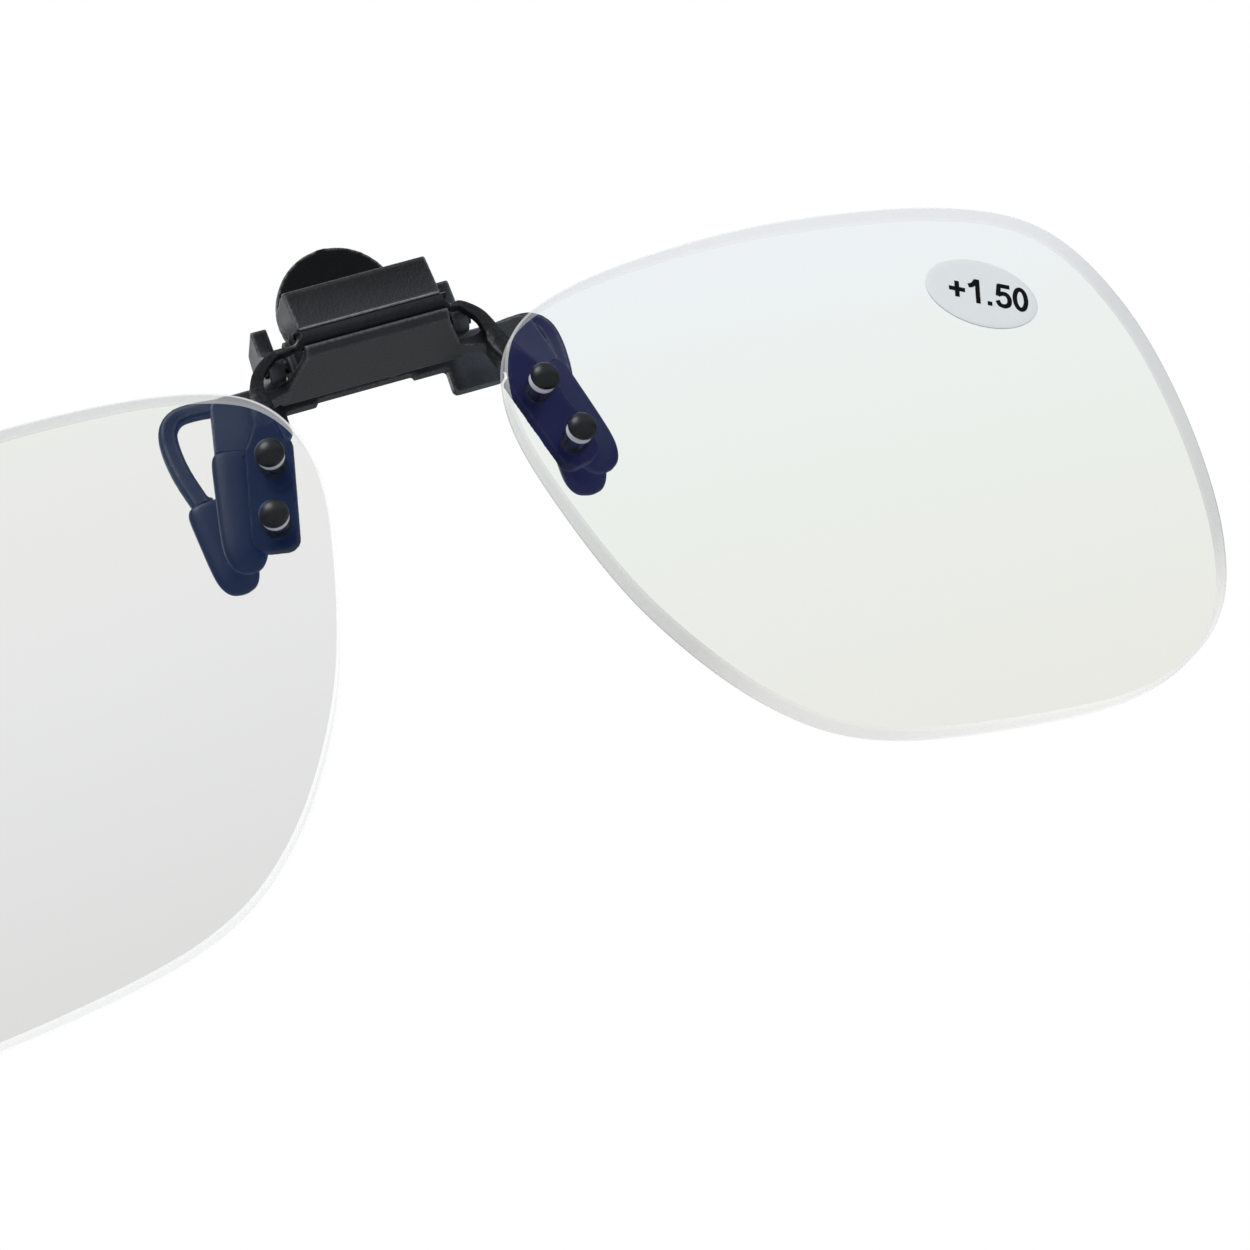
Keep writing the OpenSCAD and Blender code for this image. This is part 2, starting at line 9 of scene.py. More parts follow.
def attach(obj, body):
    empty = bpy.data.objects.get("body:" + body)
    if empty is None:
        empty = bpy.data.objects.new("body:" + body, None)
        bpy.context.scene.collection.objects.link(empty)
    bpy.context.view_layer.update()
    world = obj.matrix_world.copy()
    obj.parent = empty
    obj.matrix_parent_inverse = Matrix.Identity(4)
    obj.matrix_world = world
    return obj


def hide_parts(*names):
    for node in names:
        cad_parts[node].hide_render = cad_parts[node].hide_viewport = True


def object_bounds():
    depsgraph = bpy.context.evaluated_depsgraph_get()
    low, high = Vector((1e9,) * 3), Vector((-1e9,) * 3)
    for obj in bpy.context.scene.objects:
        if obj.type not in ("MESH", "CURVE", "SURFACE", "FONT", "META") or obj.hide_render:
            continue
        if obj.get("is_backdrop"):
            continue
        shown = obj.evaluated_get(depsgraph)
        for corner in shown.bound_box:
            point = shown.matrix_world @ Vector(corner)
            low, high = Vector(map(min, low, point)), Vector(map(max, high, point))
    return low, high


bl_info = {
    "name": "Clip-on reading glasses",
    "version": (1, 0, 0),
    "blender": (4, 5, 0),
    "location": "View3D > Sidebar > Glasses",
    "description": "Dresses clip-on reading glasses: lenses, clip, sleeves, pins and sticker",
    "category": "Object",
}

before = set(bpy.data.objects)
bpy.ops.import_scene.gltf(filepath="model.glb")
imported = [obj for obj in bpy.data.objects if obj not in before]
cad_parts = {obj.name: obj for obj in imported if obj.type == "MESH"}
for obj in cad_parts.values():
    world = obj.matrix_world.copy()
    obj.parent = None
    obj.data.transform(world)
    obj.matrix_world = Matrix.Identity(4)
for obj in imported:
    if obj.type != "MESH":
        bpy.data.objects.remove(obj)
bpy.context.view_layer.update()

MM = 0.001
RIGHT_LEFT = (("right", 1), ("left", -1))

# Sizes of the frame's solids, in millimetres. The right lens's flat back lies in a plane that is
# turned by WRAP about the upright line at WRAP_X, LENS_BACK. Places in it are (u, w): outwards,
# and up from LENS_DROP below the row's origin.
WRAP = math.radians(11.4)
WRAP_X, LENS_BACK, LENS_DROP = 10.4, -4.5, 11.0
LENS_INNER, LENS_W, LENS_H, LENS_T, LENS_R = 8.0, 60.3, 49.0, 3.0, 400.0
LENS_MID = LENS_INNER + LENS_W / 2 - WRAP_X

# The lens's outline round its middle, in halves of its width and height.
LENS_KNOTS = np.array([
    [-0.998, 0.509], [-0.965, 0.174], [-0.833, -0.302], [-0.599, -0.711],
    [-0.308, -0.921], [0.183, -0.994], [0.539, -0.966], [0.806, -0.794],
    [0.946, -0.473], [0.999, 0.008], [0.962, 0.467], [0.816, 0.804],
    [0.521, 0.951], [0.019, 1.001], [-0.403, 0.969], [-0.736, 0.887],
    [-0.922, 0.756]])

PIN_STEP, PIN_LEAN = 5.35, math.radians(14.5)
UPPER_PIN = np.array([0.85, 13.8])
LOWER_PIN = UPPER_PIN + PIN_STEP * np.array([math.sin(PIN_LEAN), -math.cos(PIN_LEAN)])
PINS = [(f"{row}_pin_{word}", at, side)
        for row, at in (("upper", UPPER_PIN), ("lower", LOWER_PIN)) for word, side in RIGHT_LEFT]


def spans(a, b, c, d, steps):
    """Catmull-Rom spans from b to c: each is the cubic through b and c whose slope at a knot is
    half the chord between that knot's neighbours."""
    t = (np.arange(steps) / steps)[None, :, None]
    return 0.5 * (2 * b + (c - a) * t + (2 * a - 5 * b + 4 * c - d) * t**2
                  + (3 * b - a - 3 * c + d) * t**3)


def smooth_loop(knots, steps):
    """Closed Catmull-Rom curve through the knots."""
    a, b, c, d = (np.roll(knots, k, axis=0)[:, None, :] for k in (1, 0, -1, -2))
    return spans(a, b, c, d, steps).reshape(-1, knots.shape[1])


def smooth_path(knots, steps):
    """Open Catmull-Rom curve through the knots; the end spans use the reflection of their inner
    neighbour."""
    k = np.asarray(knots, float)
    k = np.vstack([2 * k[0] - k[1], k, 2 * k[-1] - k[-2]])
    curve = spans(k[:-3, None], k[1:-2, None], k[2:-1, None], k[3:, None], steps)
    return np.vstack([curve.reshape(-1, k.shape[1]), k[-2]])


def unit(rows):
    return rows / np.linalg.norm(rows, axis=1, keepdims=True)


def leftward(line):
    """Unit tangents of a flat curve, turned a quarter to the left."""
    d = unit(np.gradient(line, axis=0))
    return np.stack([-d[:, 1], d[:, 0]], -1)


def front_depth(u, w):
    """Depth of the lens front before its flat back: t - R + sqrt(R^2 - d^2), d being the distance
    from the lens middle in the lens plane."""
    d2 = (u - LENS_MID) ** 2 + w**2
    return LENS_T - LENS_R + np.sqrt(LENS_R**2 - d2)


def from_lens_plane(q, side):
    """Points (u, depth, w) of the lens plane in the row frame: turned by the wrap about Z, moved
    to the plane's place, and mirrored in X for the left lens."""
    u, y, w = q[..., 0], -q[..., 1], q[..., 2]
    x = WRAP_X + u * math.cos(WRAP) - y * math.sin(WRAP)
    y = LENS_BACK + u * math.sin(WRAP) + y * math.cos(WRAP)
    return np.stack([side * x, y, w - LENS_DROP], -1)


def placed(name, data):
    """A new object with its data, in the scene."""
    ob = bpy.data.objects.new(name, data)
    bpy.context.collection.objects.link(ob)
    return ob


def with_modifiers(ob):
    """An object's mesh as its modifiers leave it."""
    return bpy.data.meshes.new_from_object(ob.evaluated_get(bpy.context.evaluated_depsgraph_get()))


def mesh_points(me, what="co"):
    """Places or normals of a mesh's vertices as an array."""
    data = np.zeros(len(me.vertices) * 3)
    me.vertices.foreach_get(what, data)
    return data.reshape(-1, 3)


def shade_smooth(me):
    me.polygons.foreach_set("use_smooth", np.ones(len(me.polygons), bool))


def outward(ob):
    """Turns the faces of a closed mesh outwards, if its signed volume says that they point in."""
    me = ob.data
    me.calc_loop_triangles()
    tri = np.zeros(len(me.loop_triangles) * 3, np.int32)
    me.loop_triangles.foreach_get("vertices", tri)
    a, b, c = mesh_points(me)[tri].reshape(-1, 3, 3).transpose(1, 0, 2)
    if np.einsum("ij,ij->i", a, np.cross(b, c)).sum() < 0:
        me.flip_normals()
    return ob


def surface(name, rings, loop=False, bands=None):
    """A closed surface over a grid of points, rings by points round a ring, its faces outwards.
    Its ends are closed by a fan to their middle, or with loop the last ring joins the first. bands
    gives each ring gap's material number."""
    n, m = rings.shape[:2]
    i, j = np.meshgrid(np.arange(n if loop else n - 1), np.arange(m), indexing="ij")
    i2, j2 = (i + 1) % n, (j + 1) % m
    faces = np.stack([i * m + j, i2 * m + j, i2 * m + j2, i * m + j2], -1).reshape(-1, 4).tolist()
    points = rings.reshape(-1, 3)
    marks = np.zeros(len(i), int) if bands is None else np.asarray(bands)
    ends = marks[[0, -1]]
    marks = np.repeat(marks, m)
    if not loop:
        a, k = n * m, np.arange(m)
        points = np.vstack([points, rings[0].mean(0), rings[-1].mean(0)])
        last = (n - 1) * m
        faces += np.stack([np.full(m, a), k, (k + 1) % m], -1).tolist()
        faces += np.stack([np.full(m, a + 1), last + (k + 1) % m, last + k], -1).tolist()
        marks = np.concatenate([marks, np.repeat(ends, m)])
    me = bpy.data.meshes.new(name)
    me.from_pydata((points * MM).tolist(), [], faces)
    me.polygons.foreach_set("material_index", marks.astype(np.int32))
    shade_smooth(me)
    me.update()
    return outward(placed(name, me))


def revolved(name, profile, at, side, steps=40, loop=False, bands=None):
    """A profile of (radius, depth) turned about the lens-plane normal through the point at."""
    r, h = np.asarray(profile, float).T
    a = np.linspace(0, 2 * np.pi, steps, endpoint=False)
    depth = np.broadcast_to(h[:, None], (len(r), steps))
    rings = np.stack([at[0] + r[:, None] * np.cos(a), depth, at[1] + r[:, None] * np.sin(a)], -1)
    return surface(name, from_lens_plane(rings, side), loop=loop, bands=bands)


def tube(name, path, radius, sides=14, across=(1.0, 0, 0)):
    """A round wire along a path of points: each ring stands square to the path, turned from the
    axis across."""
    t = unit(np.gradient(path, axis=0))
    u = unit(np.array(across) - (t @ across)[:, None] * t)
    v = np.cross(t, u)
    a = np.linspace(0, 2 * np.pi, sides, endpoint=False)[None, :, None]
    return surface(name, path[:, None] + radius * (np.cos(a) * u[:, None] + np.sin(a) * v[:, None]))


# Corners of a CAD node's loose triangles that lie this near are one, in metres.
SAME_CORNER = 2e-6


def softened(name, node, voxel, passes, shape=None):
    """The moulding of a CAD node with the small round edges of a moulded part: its triangles
    merged, laid over an even net of the given mesh width, and relaxed a few passes. How far a
    point sinks when the net relaxes says how sharp the edge there is, and is kept as the attribute
    edge, from 0 to 1. shape, if any, moves the points last."""
    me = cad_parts[node].data.copy()
    me.materials.clear()
    bm = bmesh.new()
    bm.from_mesh(me)
    bmesh.ops.remove_doubles(bm, verts=bm.verts, dist=SAME_CORNER)
    bm.transform(Matrix.Scale(1 / MM, 4))
    bm.to_mesh(me)
    bm.free()
    ob = placed(name, me)
    net = ob.modifiers.new("net", "REMESH")
    net.mode, net.voxel_size, net.use_smooth_shade = "VOXEL", voxel, True
    rough = with_modifiers(ob)
    relax = ob.modifiers.new("relax", "SMOOTH")
    relax.factor, relax.iterations = 0.5, passes
    made = with_modifiers(ob)
    points = mesh_points(made)
    sunk = ((mesh_points(rough) - points) * mesh_points(made, "normal")).sum(1)
    bpy.data.meshes.remove(rough)
    sharp = made.attributes.new("edge", "FLOAT", "POINT")
    sharp.data.foreach_set("value", np.clip(sunk / (0.5 * voxel), 0, 1))
    if shape:
        points = shape(points)
    made.vertices.foreach_set("co", (points * MM).ravel())
    made.name = name
    ob.modifiers.clear()
    ob.data = made
    shade_smooth(made)
    return outward(ob)


def finish_piece(ob, mats, body, slot, *nodes):
    """Gives a piece its materials and its body, and hides the solids it stands for. slot is not
    used."""
    for mat in mats:
        ob.data.materials.append(mat)
    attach(ob, body)
    if nodes:
        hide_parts(*nodes)


def new_material(name):
    mat = bpy.data.materials.new(name)
    mat.use_nodes = True
    nt = mat.node_tree
    return mat, nt, nt.nodes["Principled BSDF"]


def fill(nt, node, *first, **named):
    """Sets a node's first inputs in order and others by name, underscores standing for spaces,
    each to a value or to another node's output."""
    chosen = list(zip(node.inputs, first))
    chosen += [(node.inputs[key.replace("_", " ")], value) for key, value in named.items()]
    for socket, value in chosen:
        if isinstance(value, bpy.types.NodeSocket):
            nt.links.new(value, socket)
        else:
            socket.default_value = value
    return node


def add(nt, kind, *first, operation=None, **named):
    """A shader node of a kind and an operation, its inputs set as in fill."""
    node = nt.nodes.new("ShaderNode" + kind)
    if operation:
        node.operation = operation
    return fill(nt, node, *first, **named)


def ramp(nt, value, stops):
    """A colour ramp over a value, from stops of (place, colour)."""
    r = nt.nodes.new("ShaderNodeValToRGB")
    while len(r.color_ramp.elements) < len(stops):
        r.color_ramp.elements.new(0.5)
    for e, (at, colour) in zip(r.color_ramp.elements, stops):
        e.position, e.color = at, (*colour, 1)
    nt.links.new(value, r.inputs["Fac"])
    return r.outputs["Color"]


def spread(nt, value, low, high, start=0.0, end=1.0):
    """low to high, as a value goes from start to end."""
    return add(nt, "MapRange", value, start, end, low, high).outputs["Result"]


def scaled(nt, colour, share):
    """A colour times a number or a grey."""
    return add(nt, "VectorMath", colour, operation="SCALE", Scale=share).outputs["Vector"]


def mixed_colours(nt, share, one, other):
    """One colour and another, a plain one, by its share. A mix node has sockets for each kind of
    value, of which 6 and 7 take the colours, and its third output gives theirs."""
    mix = nt.nodes.new("ShaderNodeMix")
    mix.data_type = "RGBA"
    nt.links.new(share, mix.inputs[0])
    nt.links.new(one, mix.inputs[6])
    mix.inputs[7].default_value = other
    return mix.outputs[2]


def mixed(nt, share, one, other):
    """One shader node's light and another's by its share."""
    return add(nt, "MixShader", share, one.outputs[0], other.outputs[0])


def show(nt, shader, output="Material Output"):
    """Makes a shader node what a material or the world shows."""
    nt.links.new(shader.outputs[0], nt.nodes[output].inputs["Surface"])


def object_place(nt):
    return add(nt, "TexCoord").outputs["Object"]


def along(nt, axis, low, high):
    """0 to 1 along one object axis, from low to high in metres."""
    xyz = add(nt, "SeparateXYZ", object_place(nt))
    return spread(nt, xyz.outputs[axis], 0.0, 1.0, low, high)


def noise(nt, scale, detail=2.0, rough=0.5, stretch=None):
    """A noise pattern on a piece's own place, with scale features a metre; stretch scales each
    axis."""
    place = object_place(nt)
    if stretch:
        place = add(nt, "Mapping", place, Scale=stretch).outputs["Vector"]
    n = add(nt, "TexNoise", Vector=place, Scale=scale, Detail=detail, Roughness=rough)
    return n.outputs["Fac"]


def mottled(nt, pattern, colour, low, high=1.0, stops=(0.3, 0.7)):
    """A colour times low to high, as a pattern goes from one stop to the other."""
    ends = zip(stops, (low, high))
    return ramp(nt, pattern, [(at, [k * share for k in colour]) for at, share in ends])


def bumped(nt, height, strength, deep):
    return add(nt, "Bump", Strength=strength, Distance=deep, Height=height).outputs["Normal"]


# Foot and top of the front jaw's block in metres, along which the clip's colour is scaled from
# painted light at the foot to painted shade at the top, and its gloss there.
BLOCK_Z, BLOCK_GLOSS = (0.0085, 0.0165), (0.5, 0.2)
# The wings' place along X, where the colour is painted lighter as painted light: a ramp this far to
# each side, and which of its stops are on a wing.
WING_REACH = 0.02
WING_STOPS = [(0.2, False), (0.23, True), (0.29, True), (0.31, False),
              (0.69, False), (0.71, True), (0.77, True), (0.8, False)]
# Features a metre of the uneven painted highlight along sharp edges.
EDGE_GLINT_SCALE = 3200.0


def satin_material(name, colour, rough, grain, bump, deep=0.00002, gloss=0.5, shine=0.0, painted_shading=None,
                   wing_painted_light=0.0):
    """Moulded plastic or rubber: an even dark colour with slight mottling, a fine spark-eroded
    grain as bump, and a roughness that wanders a little. With shine, sharp edges are painted
    paler, unevenly, as a painted highlight. The painted shading scales the colour from the foot of
    the block to its top, up at the foot as painted light and down at the top as painted shade,
    where the gloss falls too; the wing factor scales it up on the wings, 8 to 12 mm from the
    middle, as painted light."""
    mat, nt, p = new_material(name)
    fine, wide = noise(nt, grain, 3.0, 0.6), noise(nt, grain / 14)
    c = mottled(nt, wide, colour, 0.8, 1.2)
    # Painted light and shade: the colour is scaled up at the block's foot and down at its top.
    if painted_shading:
        up = along(nt, "Z", *BLOCK_Z)
        c = scaled(nt, c, spread(nt, up, *painted_shading))
        gloss = spread(nt, up, *BLOCK_GLOSS)
    # Painted light: the colour is scaled up on the wings.
    if wing_painted_light:
        stops = [(at, (wing_painted_light if there else 1.0,) * 3) for at, there in WING_STOPS]
        c = scaled(nt, c, ramp(nt, along(nt, "X", -WING_REACH, WING_REACH), stops))
    # Painted highlight: sharp edges are mixed towards a pale colour, broken up unevenly by noise.
    if shine:
        edge = add(nt, "Attribute")
        edge.attribute_name = "edge"
        painted_glint = spread(nt, noise(nt, EDGE_GLINT_SCALE), 0.35, 1.0, 0.35, 0.65)
        share = add(nt, "Math", edge.outputs["Fac"], painted_glint, operation="MULTIPLY").outputs[0]
        c = mixed_colours(nt, share, c, (shine, shine * 1.02, shine * 1.05, 1))
    fill(nt, p, Base_Color=c, Roughness=spread(nt, wide, rough - 0.05, rough + 0.07),
         Specular_IOR_Level=gloss, Normal=bumped(nt, fine, bump, deep))
    return mat


def metal_material(name, colour, rough):
    """Drawn steel: metal with fine scratches that run along X."""
    mat, nt, p = new_material(name)
    lines = noise(nt, 1.0, stretch=(300, 9000, 9000))
    fill(nt, p, Base_Color=mottled(nt, lines, colour, 0.85), Metallic=1.0,
         Roughness=spread(nt, lines, rough - 0.08, rough + 0.12))
    return mat


# Foot and top of the lenses, in metres, and how each is tinted between them.
LENS_Z = (-0.036, 0.014)
TINTS = {
    "right": [(0.0, (0.940, 0.945, 0.900)), (0.2, (0.948, 0.953, 0.910)),
              (0.5, (0.950, 0.971, 0.924)), (0.75, (0.958, 0.981, 0.950)),
              (1.0, (0.962, 0.981, 0.974))],
    "left": [(0.0, (0.888, 0.886, 0.866)), (0.5, (0.928, 0.925, 0.905)),
             (1.0, (0.951, 0.953, 0.912))],
}
# The rims' milky share, and from foot to top their painted glow (painted light) and what their
# clear share lets through.
RIMS = {
    "right": (0.36, [(0.0, 0.7, 0.99), (0.05, 0.42, 0.97), (0.15, 0.3, 0.96), (0.27, 0.05, 0.88),
                     (0.5, 0.12, 0.91), (0.75, 0.2, 0.92), (0.9, 0.42, 0.98), (1.0, 0.48, 0.99)]),
    "left": (0.5, [(0.0, 0.74, 0.98), (0.6, 0.74, 0.98), (0.8, 0.5, 0.97), (1.0, 0.42, 0.97)]),
}
# What a lens mirrors of light that meets it square.
HEAD_ON_SHARE = 0.045


def lens_material(name, tints, coat):
    """Coated clear resin: passes light, tinted from foot to top, and mirrors a little blue at its
    faces, by the rule 0.045 + 0.955 (1 - cos)^5 of the angle to the face's normal."""
    mat, nt, p = new_material(name)
    fill(nt, p, Base_Color=(*coat, 1), Metallic=1.0, Roughness=0.03)
    clear = add(nt, "BsdfTransparent", Color=ramp(nt, along(nt, "Z", *LENS_Z), tints))
    facing = add(nt, "LayerWeight", Blend=0.5).outputs["Facing"]
    fifth = add(nt, "Math", facing, 5.0, operation="POWER").outputs[0]
    show(nt, mixed(nt, spread(nt, fifth, HEAD_ON_SHARE, 1.0), clear, p))
    return mat


def rim_material(name, share, stops):
    """Ground edge of a lens: a clear band with a milky share. It glows faintly as painted light,
    standing in for light that gathers in it; stops give the painted glow and what the clear share
    lets through, from the lens's foot to its top."""
    mat, nt, p = new_material(name)
    high = along(nt, "Z", *LENS_Z)
    painted_glow = ramp(nt, high, [(z, (strength,) * 3) for z, strength, _ in stops])
    through = ramp(nt, high, [(z, (passed,) * 3) for z, _, passed in stops])
    fill(nt, p, Base_Color=(0.5, 0.5, 0.5, 1), Roughness=0.2,
         Emission_Color=painted_glow, Emission_Strength=1.0)
    show(nt, mixed(nt, share, add(nt, "BsdfTransparent", Color=through), p))
    return mat


def bush_material(name, colour, share, painted_glow=0.0):
    """Clear moulded resin: it lets light through but for a milky share, and it glows faintly and
    evenly as painted light, standing in for light that it gathers."""
    mat, nt, p = new_material(name)
    c = mottled(nt, noise(nt, 900.0), colour, 0.96, stops=(0.2, 0.8))
    fill(nt, p, Base_Color=c, Roughness=0.18, Emission_Color=(1, 1, 1, 1), Emission_Strength=painted_glow)
    show(nt, mixed(nt, share, add(nt, "BsdfTransparent", Color=(0.97, 0.975, 0.97, 1)), p))
    return mat


def paper_material(name, colour, gloss=0.5):
    """Smooth label film: an even pale colour with a faint mottle and a soft sheen."""
    mat, nt, p = new_material(name)
    grain = noise(nt, 2500.0, 3.0)
    fill(nt, p, Base_Color=mottled(nt, grain, colour, 0.985), Roughness=0.45,
         Specular_IOR_Level=gloss, Normal=bumped(nt, grain, 0.08, 0.00001))
    return mat


def colour_property(label, default, note):
    return bpy.props.FloatVectorProperty(name=label, description=note, default=default, size=3,
                                         min=0.0, max=1.0, subtype="COLOR")


class GlassesFinish(bpy.types.PropertyGroup):
    """Colours and finishes that a user would change."""
    plastic: colour_property("Clip colour", (0.008, 0.0095, 0.0115),
                             "Colour of the moulded clip and carrier")
    plastic_rough: bpy.props.FloatProperty(
        name="Clip roughness", description="Roughness of the moulded clip",
        default=0.4, min=0.05, max=1.0, subtype="FACTOR")
    rubber: colour_property("Sleeve colour", (0.010, 0.013, 0.019), "Colour of the rubber sleeves")
    steel: colour_property("Steel colour", (0.10, 0.10, 0.105),
                           "Colour of the pin, the spring and the leaf")
    coat_right: colour_property("Right coating", (0.12, 0.13, 0.95),
                                "Colour that the right lens mirrors")
    coat_left: colour_property("Left coating", (0.1, 0.27, 1.0),
                               "Colour that the left lens mirrors")
    sticker: colour_property("Sticker colour", (0.80, 0.83, 0.84), "Colour of the power sticker")
    ink: colour_property("Ink colour", (0.003, 0.003, 0.0045),
                         "Colour of the digits on the sticker")
    edge_net: bpy.props.FloatProperty(
        name="Mesh width", default=0.12, min=0.08, max=0.5,
        description="Width of the net that rounds the mouldings' edges, in millimetres")
    edge_passes: bpy.props.IntProperty(
        name="Edge rounding", description="Passes that relax the net", default=5, min=0, max=20)
    # Edge shine sets a painted highlight: how pale the mouldings' sharp edges are painted.
    edge_shine: bpy.props.FloatProperty(
        name="Edge shine", description="Paleness of the mouldings' sharp edges",
        default=0.4, min=0.0, max=1.0, subtype="FACTOR")


class GlassesDigits(bpy.types.PropertyGroup):
    """The power printed on the sticker."""
    power: bpy.props.StringProperty(
        name="Power", description="Lens power in dioptres", default="+1.50")
    height: bpy.props.FloatProperty(
        name="Height", description="Height of the digits on the sticker",
        default=0.0025, unit="LENGTH")


# The lip above the hinge bar, painted pale and speckled as a painted highlight along the edge: its
# depth and height, half its length, its radius and its points.
LIP_AT, LIP_HALF, LIP_R, LIP_POINTS = (-7.51, 12.42), 6.0, 0.11, 25


class GLASSES_OT_clip(bpy.types.Operator):
    """Front jaw with its lip painted pale as a highlight, and rear jaw: mouldings with small round
    edges, in black plastic"""
    bl_idname = "glasses.clip"
    bl_label = "Clip mouldings"

    def execute(self, context):
        s = context.scene.glasses_finish
        for node, body, wing_painted_light in (("front_jaw", "clip", 0.0), ("rear_jaw", "rear", 3.5)):
            # Both jaws get painted light at the block's foot and painted shade at its top; the rear
            # jaw's wings are painted lighter too.
            mat = satin_material(node + " plastic", s.plastic, s.plastic_rough, grain=4500.0,
                                 bump=0.7, deep=0.00006, shine=s.edge_shine, painted_shading=(3.0, 0.35),
                                 wing_painted_light=wing_painted_light)
            ob = softened(node + "_moulding", node, s.edge_net, s.edge_passes)
            finish_piece(ob, [mat], body, "clip_plastic", node)
        lip = np.linspace([-LIP_HALF, *LIP_AT], [LIP_HALF, *LIP_AT], LIP_POINTS)
        # Pale speckled colour of the lip: a painted highlight along the block's edge.
        painted_glint = satin_material("lip plastic", (0.2, 0.205, 0.21), 0.35, grain=45000.0, bump=1.0,
                              deep=0.00004)
        finish_piece(tube("front_jaw_lip", lip, LIP_R, across=(0, 1.0, 0)), [painted_glint], "clip",
                     "clip_plastic")
        return {"FINISHED"}


# Stations of the right crescent arm: x, z, front y, back y and half the width of the band. First
# as in the frame's solid, then as the bowed arm of the render.
ARM = np.array([[6.25, 11.4, -7.5, -6.3, 0.3], [7.1, 11.33, -7.4, -5.2, 0.3],
                [8.4, 11.05, -6.95, -3.5, 0.3], [9.25, 10.35, -6.3, -2.6, 0.31],
                [9.95, 9.25, -5.6, -2.2, 0.36], [10.45, 7.95, -4.48, -2.3, 0.6],
                [10.85, 6.6, -4.48, -3.4, 1.11]])
BOWED = np.array([ARM[0], [6.95, 11.85, -5.9, -4.7, 0.22], [8.2, 12.35, -4.5, -3.4, 0.36],
                  [9.6, 11.6, -3.4, -2.3, 0.48], [10.2, 10.2, -3.05, -1.95, 0.64],
                  [10.35, 8.6, -3.5, -2.2, 1.0], ARM[-1]])
# How far above its start the arm's points are looked for, and how many points are worked at once.
ARM_ABOVE, ARM_BATCH = 0.8, 20000


def bowed_arms(points):
    """Bows the crescent arms. A point near an arm has three numbers there: the nearest place on
    its smooth middle line, its share of the half width, and its share of the depth. The point
    moves by what those three numbers give on the bowed arm, less what they give on the solid's."""
    lines = [smooth_path(k, 12) for k in (ARM, BOWED)]
    sides = [leftward(line[:, :2]) for line in lines]
    out = points.copy()
    near = np.flatnonzero((np.abs(points[:, 0]) > ARM[0, 0]) & (points[:, 2] > ARM[-1, 1])
                          & (points[:, 2] < ARM[0, 1] + ARM_ABOVE))
    for part in np.array_split(near, max(1, len(near) // ARM_BATCH)):
        p = points[part]
        xz = np.stack([np.abs(p[:, 0]), p[:, 2]], -1)
        k = ((xz[:, None] - lines[0][:, :2]) ** 2).sum(2).argmin(1)
        old, new = lines[0][k], lines[1][k]
        share = ((xz - old[:, :2]) * sides[0][k]).sum(1) / old[:, 4]
        share = np.clip(share, -1, 1)[:, None]
        depth = np.clip((p[:, 1] - old[:, 2]) / (old[:, 3] - old[:, 2]), 0, 1)
        moved = new[:, :2] + share * new[:, 4:5] * sides[1][k]
        flat = moved - (old[:, :2] + share * old[:, 4:5] * sides[0][k])
        back = (new[:, 2] - old[:, 2]) * (1 - depth) + (new[:, 3] - old[:, 3]) * depth
        out[part] += np.stack([np.sign(p[:, 0]) * flat[:, 0], back, flat[:, 1]], -1)
    return out


class GLASSES_OT_carrier(bpy.types.Operator):
    """Carrier: hinge bar, crescent arms and mounting plates in one black moulding"""
    bl_idname = "glasses.carrier"
    bl_label = "Lens carrier"

    def execute(self, context):
        s = context.scene.glasses_finish
        # The carrier's sharp edges get a weaker painted highlight.
        mat = satin_material("carrier plastic", s.plastic, s.plastic_rough * 0.8, grain=6500.0,
                             bump=0.35, gloss=0.2, shine=s.edge_shine * 0.25)
        ob = softened("lens_carrier_moulding", "lens_carrier", s.edge_net, s.edge_passes,
                      bowed_arms)
        finish_piece(ob, [mat], "lenses", "clip_plastic", "lens_carrier")
        return {"FINISHED"}


# How far a lens's chamfers reach in and down, and the turn between faces that shows as an edge.
CHAMFER_IN, CHAMFER_DOWN, CREASE = 0.22, 0.16, math.radians(25)
# A lens hole's radius, and the depths between which its drill runs, from the lens's back.
HOLE_R, DRILLED = 1.08, (-1.0, 5.0)


def lens_rings(around=14, rounds=14):
    """Rings of a lens from the middle of its front, over its edge with two small chamfers, to the
    middle of its back, and the material number of each gap. A ring is the outline drawn towards
    the lens middle by a share; the front follows the convex cap and the back is flat."""
    line = smooth_loop(LENS_KNOTS, around) * [LENS_W / 2, LENS_H / 2]
    inset = 1 - CHAMFER_IN / np.linalg.norm(line, axis=1)
    shares = np.linspace(0.02, 1, rounds)

    def ring(share, depth=None, lift=0.0):
        q = line * (share if np.isscalar(share) else share[:, None])
        u, w = q[:, 0] + LENS_MID, q[:, 1]
        y = front_depth(u, w) - lift if depth is None else np.full(len(u), depth)
        return np.stack([u, y, w], -1)

    front = [ring(inset * k) for k in shares]
    back = [ring(inset * k, 0.0) for k in shares[::-1]]
    edge = [ring(1.0, None, CHAMFER_DOWN), ring(1.0, CHAMFER_DOWN)]
    face, rim = [0] * (rounds - 1), [1] * (len(edge) + 1)
    return np.stack(front + edge + back), face + rim + face


def drilled(ob, side):
    """A lens with its two holes: a round bar a little wider than a bush is taken away at each
    pin."""
    low, high = DRILLED
    for at in (UPPER_PIN, LOWER_PIN):
        bar = revolved("hole", [(0.01, low), (HOLE_R, low), (HOLE_R, high), (0.01, high)], at, side)
        cut = ob.modifiers.new("hole", "BOOLEAN")
        cut.operation, cut.solver, cut.object = "DIFFERENCE", "EXACT", bar
        made = with_modifiers(ob)
        ob.modifiers.clear()
        ob.data, made.name = made, ob.name
        bpy.data.objects.remove(bar)
    return ob


